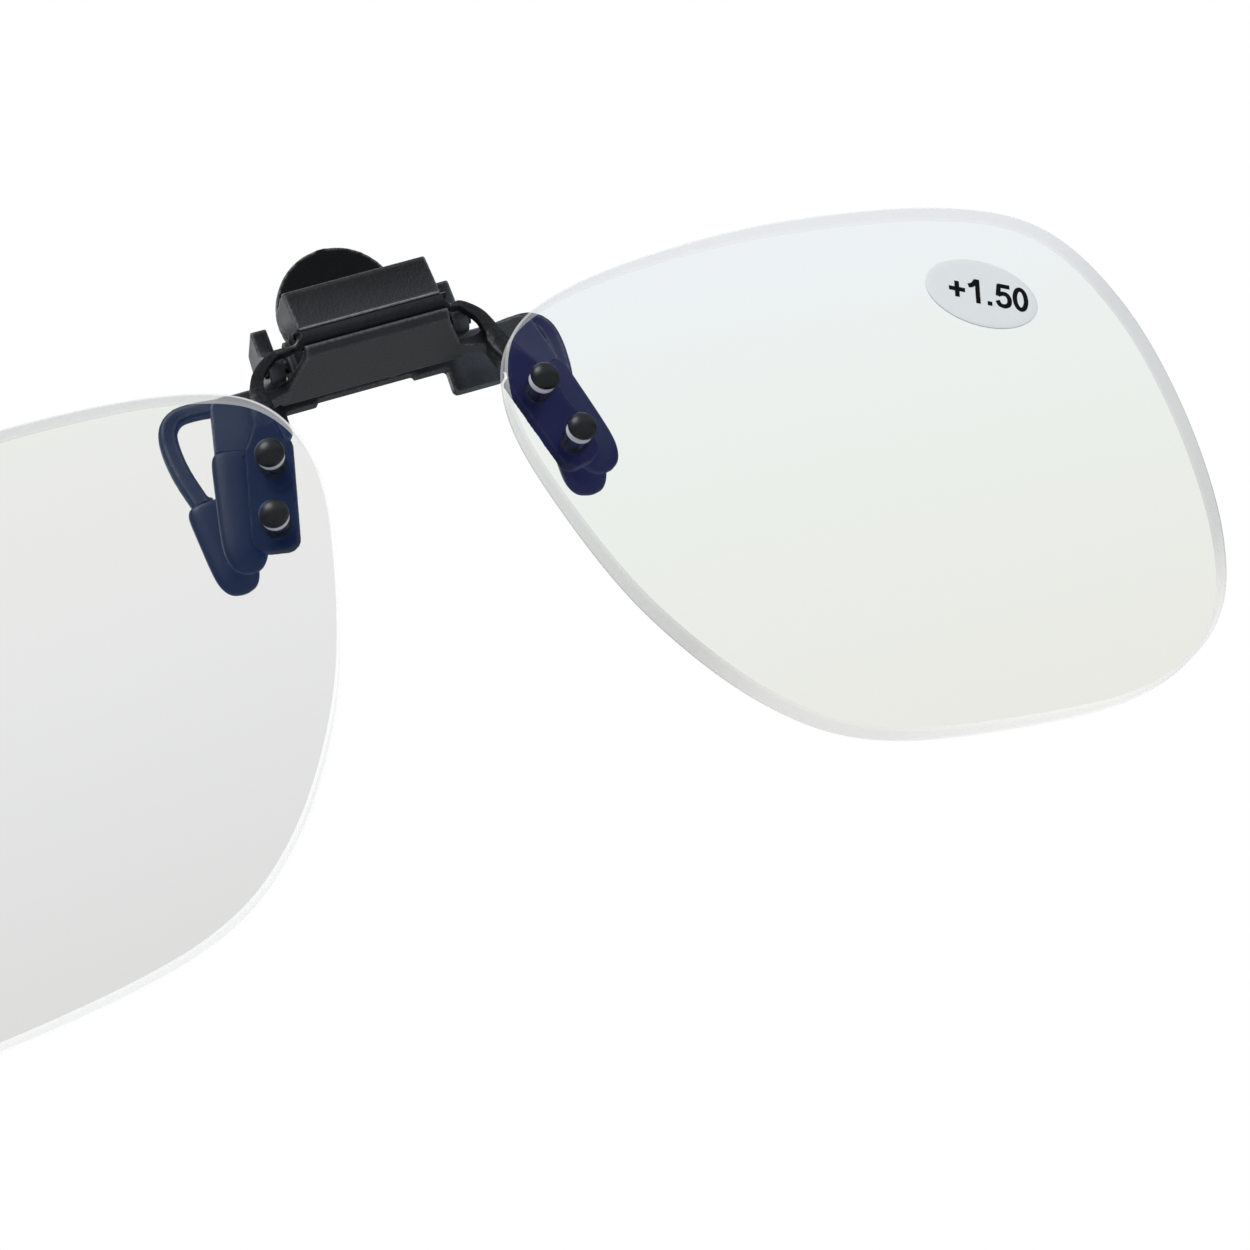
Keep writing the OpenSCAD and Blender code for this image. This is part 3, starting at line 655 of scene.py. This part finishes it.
class GLASSES_OT_lenses(bpy.types.Operator):
    """Both lenses: flat back, convex front, smooth outline, chamfered edge and two drilled
    holes"""
    bl_idname = "glasses.lenses"
    bl_label = "Lenses"

    def execute(self, context):
        s = context.scene.glasses_finish
        rings, bands = lens_rings()
        for word, side in RIGHT_LEFT:
            name, coat = "lens_" + word, getattr(s, "coat_" + word)
            mats = [lens_material("lens " + word, TINTS[word], coat),
                    rim_material("rim " + word, *RIMS[word])]
            ob = drilled(surface(name + "_resin", from_lens_plane(rings, side), bands=bands), side)
            ob.data.set_sharp_from_angle(angle=CREASE)
            finish_piece(ob, mats, "lenses", "lens", name)
        return {"FINISHED"}


# The dome of a pin's head: its radius, its height, and its foot's height over where the pin seats,
# which is SEAT_H over the lens; and the radii of a pin's shank and of a bush's bore.
HEAD_R, HEAD_H, HEAD_FOOT, SEAT_H = 1.24, 1.0, 0.3, 0.64
SHANK_R, BORE_R = 0.6, 0.62


class GLASSES_OT_pins(bpy.types.Operator):
    """Push pins: domed glossy heads, shanks and spread tails"""
    bl_idname = "glasses.pins"
    bl_label = "Push pins"

    def execute(self, context):
        s = context.scene.glasses_finish
        mat = satin_material("pin plastic", [k * 0.8 for k in s.plastic], 0.36, grain=5000.0,
                             bump=0.05)
        a = np.radians(np.linspace(0, 88, 12))
        for name, at, side in PINS:
            t = front_depth(*at) + SEAT_H
            tail = [(0.2, -1.33), (0.98, -1.32), (0.75, -1.13), (SHANK_R, -1.1)]
            neck = [(SHANK_R, t + 0.1), (1.15, t + 0.12)]
            head = [(HEAD_R * math.cos(k), t + HEAD_FOOT + HEAD_H * math.sin(k)) for k in a]
            finish_piece(revolved(name + "_head", tail + neck + head, at, side), [mat],
                         "lenses", "pin_plastic", name)
        return {"FINISHED"}


class GLASSES_OT_bushes(bpy.types.Operator):
    """Clear bushes: a tube through the lens and a collar under each head, painted pale with a faint
    glow as painted light
    """
    bl_idname = "glasses.bushes"
    bl_label = "Clear bushes"

    def execute(self, context):
        mats = [bush_material("bush in lens", (0.9, 0.9, 0.9), 0.03),
                # The collar's pale milky colour and glow are painted light, standing in for the
                # bright room seen through the clear resin.
                bush_material("bush collar", (0.8, 0.81, 0.84), 0.75, 0.12)]
        for pin, at, side in PINS:
            t, name = front_depth(*at), pin.replace("pin", "bush")
            wall = [(BORE_R, 0.02), (1.03, 0.02), (1.05, 0.06), (1.05, t + 0.06)]
            collar = [(1.11, t + 0.07), (1.14, t + 0.13), (1.12, t + 0.6), (1.05, t + 0.7),
                      (BORE_R, t + 0.72)]
            ob = revolved(name + "_tube", wall + collar, at, side, loop=True,
                          bands=[0, 0, 0, 0, 1, 1, 1, 1, 0])
            finish_piece(ob, mats, "lenses", "clear_plastic", name)
        return {"FINISHED"}


# A sleeve down its length: share of the length, of the width and of the thickness.
SLEEVE_FORM = [[0, 0.86, 0.86], [0.03, 0.94, 0.94], [0.1, 0.99, 0.98], [0.3, 1, 1], [0.6, 1, 1],
               [0.78, 0.95, 0.98], [0.89, 0.8, 0.86], [0.96, 0.56, 0.6], [0.995, 0.2, 0.24]]
SLEEVE_W, SLEEVE_T, SLEEVE_SQUARE = 3.9, 2.0, 0.7
# Each kind of sleeve on the right: its body, its top, its foot's root and end as (x, z), how far
# it reaches past the foot, and its depth.
SLEEVES = {"front_sleeve": ("clip", (13.45, 6.16), (13.45, 6.2), (15.25, -2.7), 1.6, -1.0),
           "rear_sleeve": ("rear", (15.75, 5.4), (16, 5.9), (15.35, -1.7), 1.4, 5.65)}


def sleeve_rings(top, root, end, reach, y):
    """Rings down a sleeve. Its middle line runs from top, past the foot's end by reach; a ring is
    a rounded oblong |x|^(2/0.7) + |y|^(2/0.7) = 1 of the sleeve's width and thickness at that
    station."""
    d = (np.array(end) - root) / np.linalg.norm(np.array(end) - root)
    tip = np.array(end) + reach * d
    form = smooth_path(SLEEVE_FORM, 5)
    a = np.linspace(0, 2 * np.pi, 48, endpoint=False)
    q, v = (np.sign(k) * np.abs(k) ** SLEEVE_SQUARE * size / 2
            for k, size in ((np.cos(a), SLEEVE_W), (np.sin(a), SLEEVE_T)))
    across = np.array([-d[1], d[0]])
    mid = np.array(top) + form[:, :1] * (tip - top)
    xz = mid[:, None, :] + (form[:, 1:2] * q)[..., None] * across
    return np.stack([xz[..., 0], y + form[:, 2:3] * v, xz[..., 1]], -1)


class GLASSES_OT_sleeves(bpy.types.Operator):
    """Rubber sleeves: a rounded sock over each of the four feet"""
    bl_idname = "glasses.sleeves"
    bl_label = "Rubber sleeves"

    def execute(self, context):
        s = context.scene.glasses_finish
        mat = satin_material("sleeve rubber", s.rubber, 0.42, grain=6000.0, bump=0.15)
        for kind, (body, *form) in SLEEVES.items():
            rings = sleeve_rings(*form)
            for word, side in RIGHT_LEFT:
                name = f"{kind}_{word}"
                ob = surface(name + "_sock", rings * [side, 1, 1])
                finish_piece(ob, [mat], body, "rubber", name)
        return {"FINISHED"}


# The spring's coil round the jaw pin at (y, z): turns, pitch, middle radius and first angle, the
# wire's radius, and where its legs end as (y, z).
JAW_PIN_AT, TURNS, PITCH, COIL_R, FIRST_ANGLE = (-2, 12.2), 5, 0.95, 1.15, 100
WIRE_R, FRONT_LEG_END, REAR_LEG_END = 0.2, (-3.35, 13.9), (3.9, 14.5)


class GLASSES_OT_spring(bpy.types.Operator):
    """Torsion spring: a helix of five turns round the jaw pin, with a leg to each jaw. The pin and
    the leaf get their steel too"""
    bl_idname = "glasses.spring"
    bl_label = "Jaw spring"

    def execute(self, context):
        s = context.scene.glasses_finish
        a = np.radians(np.arange(FIRST_ANGLE, FIRST_ANGLE + 360 * TURNS + 1, 15))
        coil = np.stack([PITCH * (a / (2 * np.pi) - TURNS / 2), JAW_PIN_AT[0] + COIL_R * np.cos(a),
                         JAW_PIN_AT[1] + COIL_R * np.sin(a)], -1)
        start, end = [coil[0, 0], *FRONT_LEG_END], [coil[-1, 0], *REAR_LEG_END]
        path = np.vstack([np.linspace(start, coil[0], 5)[:-1], coil,
                          np.linspace(coil[-1], end, 10)[1:]])
        mat = metal_material("spring steel", s.steel, 0.25)
        finish_piece(tube("jaw_spring_wire", path, WIRE_R), [mat], "clip", "steel", "jaw_spring")
        for node in ("jaw_pin", "detent_leaf"):
            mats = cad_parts[node].data.materials
            mats.clear()
            mats.append(metal_material(node.replace("_", " ") + " steel", s.steel, 0.3))
        return {"FINISHED"}


# The sticker's place in the lens plane, its turn, and half its width and height. Its film runs
# from the middle of its front to that of its back, in shares of the oval and lifts over the lens.
STICKER_AT, STICKER_TURN = np.array([LENS_MID + 15.35, 14.12]), math.radians(-23.5)
STICKER_HALF = (5.25, 3.42)
FILM = [(0.02, 0.1), (0.3, 0.1), (0.6, 0.1), (0.85, 0.1), (0.985, 0.1), (1, 0.085), (1, 0.012),
        (0.985, 0.01), (0.6, 0.01), (0.3, 0.01), (0.02, 0.01)]
# The middle of the printed line's foot from the sticker's middle, its turn, and the ink's lifts.
DIGITS_FOOT, DIGITS_TURN = [0.17, -1.25], math.radians(-21.4)
INK_TOP, INK_FOOT = 0.115, 0.09
# The angles of a round digit's ring, which runs a little past its start so that it closes.
RING = np.radians(np.arange(-10, 371, 10))

# Half the width of a printed stroke, and the printed characters: the room that one takes, and its
# strokes, in digit heights from the middle of its foot. A stroke with more than two points is
# curved.
STROKE = 0.086
PRINTS = {
    "+": (0.71, [[[-0.3, 0.45], [-0.086, 0.45]], [[0.086, 0.45], [0.3, 0.45]],
                 [[0, 0.12], [0, 0.78]]]),
    "-": (0.71, [[[-0.3, 0.45], [0.3, 0.45]]]),
    ".": (0.43, [[[0, 0], [0, 0.172]]]),
    "0": (0.64, [np.stack([0.21 * np.sin(RING), 0.5 + 0.42 * np.cos(RING)], -1)]),
    "1": (0.64, [[[0.1, 0], [0.1, 1]], [[0.06, 0.95], [-0.03, 0.8], [-0.12, 0.72], [-0.24, 0.68]]]),
    "2": (0.64, [[[-0.22, 0.68], [-0.15, 0.87], [0.03, 0.92], [0.2, 0.8], [0.18, 0.6], [0, 0.38],
                  [-0.17, 0.15]],
                 [[-0.26, 0.086], [0.26, 0.086]]]),
    "3": (0.64, [[[-0.22, 0.74], [-0.12, 0.88], [0.05, 0.91], [0.19, 0.78], [0.14, 0.6],
                  [-0.04, 0.53]],
                 [[-0.04, 0.53], [0.16, 0.45], [0.21, 0.26], [0.08, 0.09], [-0.12, 0.1],
                  [-0.24, 0.26]]]),
    "4": (0.64, [[[0.1, 0], [0.1, 1]], [[0.06, 0.93], [-0.26, 0.33]],
                 [[-0.3, 0.29], [0.28, 0.29]]]),
    "5": (0.64, [[[-0.2, 0.92], [0.25, 0.92]], [[-0.15, 0.96], [-0.21, 0.48]],
                 [[-0.2, 0.52], [-0.06, 0.6], [0.12, 0.58], [0.22, 0.4], [0.18, 0.18],
                  [0.02, 0.083], [-0.15, 0.12], [-0.24, 0.28]]]),
    "7": (0.64, [[[-0.26, 0.92], [0.26, 0.92]], [[0.2, 0.88], [0.04, 0.5], [-0.07, 0]]]),
}


def printed(text, high):
    """A text's strokes as thin closed bars, in one array of points (across, up, lift) and one list
    of faces. A bar's section is an oblong of the stroke's width, from the ink's foot to its
    top."""
    unknown = sorted(set(text) - set(PRINTS))
    if unknown:
        raise ValueError(f"the sticker has no strokes for {unknown}")
    sides = np.array([[1], [-1], [-1], [1]])
    lifts = np.array([[INK_TOP], [INK_TOP], [INK_FOOT], [INK_FOOT]])
    i, j = np.arange(4), (np.arange(4) + 1) % 4
    points, faces, left, count = [], [], -sum(PRINTS[ch][0] for ch in text) / 2, 0
    for ch in text:
        taken, strokes = PRINTS[ch]
        for stroke in strokes:
            line = smooth_path(stroke, 8) if len(stroke) > 2 else np.array(stroke, float)
            square = STROKE * leftward(line)
            flat = line[:, None] + sides * square[:, None] + [left + taken / 2, 0]
            lift = np.broadcast_to(lifts, (len(line), 4, 1))
            points.append(np.concatenate([flat * high, lift], -1).reshape(-1, 3))
            last = count + 4 * (len(line) - 1)
            k = np.arange(count, last, 4)[:, None]
            faces += np.stack([k + i, k + j, k + 4 + j, k + 4 + i], -1).reshape(-1, 4).tolist()
            faces += [(count + i[::-1]).tolist(), (last + i).tolist()]
            count = last + 4
        left += taken
    return np.vstack(points), faces


def on_lens_front(xy, turn, at, lift):
    """Flat points turned, moved to a place in the lens plane, and laid on the convex front at a
    lift."""
    c, s = math.cos(turn), math.sin(turn)
    u = at[0] + xy[..., 0] * c - xy[..., 1] * s
    w = at[1] + xy[..., 0] * s + xy[..., 1] * c
    return np.stack([u, front_depth(u, w) + lift, w], -1)


class GLASSES_OT_sticker(bpy.types.Operator):
    """Power sticker: a pale oval film on the lens front, and its printed digits"""
    bl_idname = "glasses.sticker"
    bl_label = "Power sticker"

    def execute(self, context):
        s, digits = context.scene.glasses_finish, context.scene.glasses_digits
        a = np.linspace(0, 2 * np.pi, 96, endpoint=False)
        oval = np.stack([STICKER_HALF[0] * np.cos(a), STICKER_HALF[1] * np.sin(a)], -1)
        rings = np.stack([on_lens_front(oval * share, STICKER_TURN, STICKER_AT, lift)
                          for share, lift in FILM])
        ob = surface("power_sticker_film", from_lens_plane(rings, 1))
        finish_piece(ob, [paper_material("sticker film", s.sticker)], "lenses", "sticker",
                     "power_sticker")
        ink, faces = printed(digits.power, digits.height / MM)
        laid = on_lens_front(ink[:, :2], DIGITS_TURN, STICKER_AT + DIGITS_FOOT, ink[:, 2])
        me = bpy.data.meshes.new("power_sticker_digits")
        me.from_pydata((from_lens_plane(laid, 1) * MM).tolist(), [], faces)
        ob = outward(placed("power_sticker_digits", me))
        finish_piece(ob, [paper_material("sticker ink", s.ink, 0.1)], "lenses", "sticker")
        return {"FINISHED"}


def seen_white(nt, strength):
    """A share that is the given strength for what the camera and clear pieces see, and 0 for
    mirrors and for the light that reaches the object."""
    path = add(nt, "LightPath").outputs
    either = add(nt, "Math", path["Is Camera Ray"], path["Is Transmission Ray"],
                 operation="MAXIMUM")
    return add(nt, "Math", either.outputs[0], strength, operation="MULTIPLY").outputs[0]


# The room's light by the height of a direction, from straight down at -1 to straight up at 1, its
# colour, and the dimmer share behind the object.
ROOM_LIGHT = [(-1, 0.3), (-0.1, 0.1), (0.08, 0.05), (0.27, 0.5), (0.45, 0.62), (0.7, 0.4),
              (1.0, 0.5)]
ROOM_COLOUR, ROOM_BEHIND = (0.9, 0.96, 1.0), 0.5


def room(nt):
    """Colour of the room that lights the object: over the height of a direction it is dark at eye
    level, where the camera stands, bright above that, and plain overhead; behind the object it is
    dimmer."""
    xyz = add(nt, "SeparateXYZ", add(nt, "TexCoord").outputs["Generated"]).outputs
    tone = ramp(nt, spread(nt, xyz["Z"], 0.0, 1.0, -1.0, 1.0),
                [(z / 2 + 0.5, [k * t for t in ROOM_COLOUR]) for z, k in ROOM_LIGHT])
    return scaled(nt, tone, spread(nt, xyz["Y"], 1.0, ROOM_BEHIND, -0.2, 0.3))


# The floor's depth under the object and half its side, in metres, and how white it looks by
# itself.
FLOOR_BELOW, FLOOR_HALF, FLOOR_WHITE = 0.0002, 2, 0.94
# Name, place, size, power and whether it may show as a highlight, for each lamp.
LAMPS = [("key", (-0.2, -0.3, 0.5), 0.4, 2.2, True), ("fill", (0.3, -0.45, 0.0), 0.4, 1.6, False),
         ("back", (0.0, 0.4, 0.35), 0.5, 0.8, True)]
LAMPS_LOOK_AT = (0, 0, -0.005)
# The camera's place, the rotation vector that turns the row frame's axes to the picture's (right,
# down and away), and its lens and sensor in millimetres.
CAMERA_AT, CAMERA_TURN = (-0.0654, -0.28745, -0.12339), (1.1661, -0.3883, -0.1005)
CAMERA_LENS, CAMERA_SENSOR = 111.79, 36.0


class GLASSES_OT_stage(bpy.types.Operator):
    """White world, pale floor that shows only from above, soft lamps and the camera"""
    bl_idname = "glasses.stage"
    bl_label = "Stage"

    def execute(self, context):
        scene = context.scene
        scene.view_settings.view_transform = "Standard"
        world = bpy.data.worlds.new("white room")
        scene.world = world
        world.use_nodes = True
        nt = world.node_tree
        plain = fill(nt, nt.nodes["Background"], Color=room(nt), Strength=1.0)
        white = add(nt, "Background", Color=(1, 1, 1, 1), Strength=1.0)
        show(nt, mixed(nt, seen_white(nt, 1.0), plain, white), "World Output")
        self.floor()
        for lamp in LAMPS:
            self.lamp(*lamp)
        self.camera(scene)
        return {"FINISHED"}

    def floor(self):
        """A pale sheet under the object that takes its shadow, and that is clear from below."""
        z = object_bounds()[0].z - FLOOR_BELOW
        me = bpy.data.meshes.new("floor")
        k = FLOOR_HALF
        me.from_pydata([(-k, -k, z), (k, -k, z), (k, k, z), (-k, k, z)], [], [(0, 1, 2, 3)])
        mat, nt, p = new_material("floor paper")
        c = ramp(nt, noise(nt, 4.0), [(0, (0.40,) * 3), (1, (0.42,) * 3)])
        fill(nt, p, Base_Color=c, Roughness=0.8, Specular_IOR_Level=0.1)
        paper = mixed(nt, seen_white(nt, FLOOR_WHITE), p, add(nt, "Emission", Strength=1.0))
        below = add(nt, "NewGeometry").outputs["Backfacing"]
        show(nt, mixed(nt, below, paper, add(nt, "BsdfTransparent")))
        me.materials.append(mat)
        placed("floor", me)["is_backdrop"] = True

    def lamp(self, name, at, size, power, mirrored):
        """A round soft lamp that looks at the glasses. One that is not mirrored leaves no
        highlight."""
        light = bpy.data.lights.new(name, "AREA")
        light.shape, light.size, light.energy = "DISK", size, power
        ob = placed(name, light)
        ob.visible_glossy = mirrored
        ob.location = at
        ob.rotation_mode = "QUATERNION"
        ob.rotation_quaternion = (Vector(LAMPS_LOOK_AT) - Vector(at)).to_track_quat("-Z", "Y")

    def camera(self, scene):
        """The viewing angle of the photograph: in front, from the left and below, and rolled.
        Blender's camera has the picture's up as its Y and looks along its own -Z, so two rows
        change sign."""
        turn = Vector(CAMERA_TURN)
        to_view = Matrix.Rotation(turn.length, 3, turn.normalized())
        rows = [to_view[0], -to_view[1], -to_view[2]]
        cam = bpy.data.cameras.new("camera")
        cam.sensor_width, cam.lens = CAMERA_SENSOR, CAMERA_LENS
        cam.clip_start, cam.clip_end = 0.01, 20.0
        ob = placed("camera", cam)
        place = Matrix(rows).transposed().to_4x4()
        place.translation = Vector(CAMERA_AT)
        ob.matrix_world = place
        scene.camera = ob


class GLASSES_PT_panel(bpy.types.Panel):
    """Lists the pieces and their finishes"""
    bl_label = "Reading glasses"
    bl_idname = "GLASSES_PT_panel"
    bl_space_type = "VIEW_3D"
    bl_region_type = "UI"
    bl_category = "Glasses"

    def draw(self, context):
        for group in (context.scene.glasses_finish, context.scene.glasses_digits):
            for key in group.bl_rna.properties.keys():
                if key not in ("rna_type", "name"):
                    self.layout.prop(group, key)
        for op in OPERATORS:
            self.layout.operator(op.bl_idname)


OPERATORS = (GLASSES_OT_clip, GLASSES_OT_carrier, GLASSES_OT_lenses, GLASSES_OT_pins,
             GLASSES_OT_bushes, GLASSES_OT_sleeves, GLASSES_OT_spring, GLASSES_OT_sticker,
             GLASSES_OT_stage)
CLASSES = (GlassesFinish, GlassesDigits, *OPERATORS, GLASSES_PT_panel)


def register():
    for cls in CLASSES:
        bpy.utils.register_class(cls)
    bpy.types.Scene.glasses_finish = bpy.props.PointerProperty(type=GlassesFinish)
    bpy.types.Scene.glasses_digits = bpy.props.PointerProperty(type=GlassesDigits)


def unregister():
    del bpy.types.Scene.glasses_finish
    del bpy.types.Scene.glasses_digits
    for cls in reversed(CLASSES):
        bpy.utils.unregister_class(cls)


def main():
    register()
    bpy.ops.glasses.clip()
    bpy.ops.glasses.carrier()
    bpy.ops.glasses.lenses()
    bpy.ops.glasses.pins()
    bpy.ops.glasses.bushes()
    bpy.ops.glasses.sleeves()
    bpy.ops.glasses.spring()
    bpy.ops.glasses.sticker()
    bpy.ops.glasses.stage()


if __name__ == "__main__":
    main()
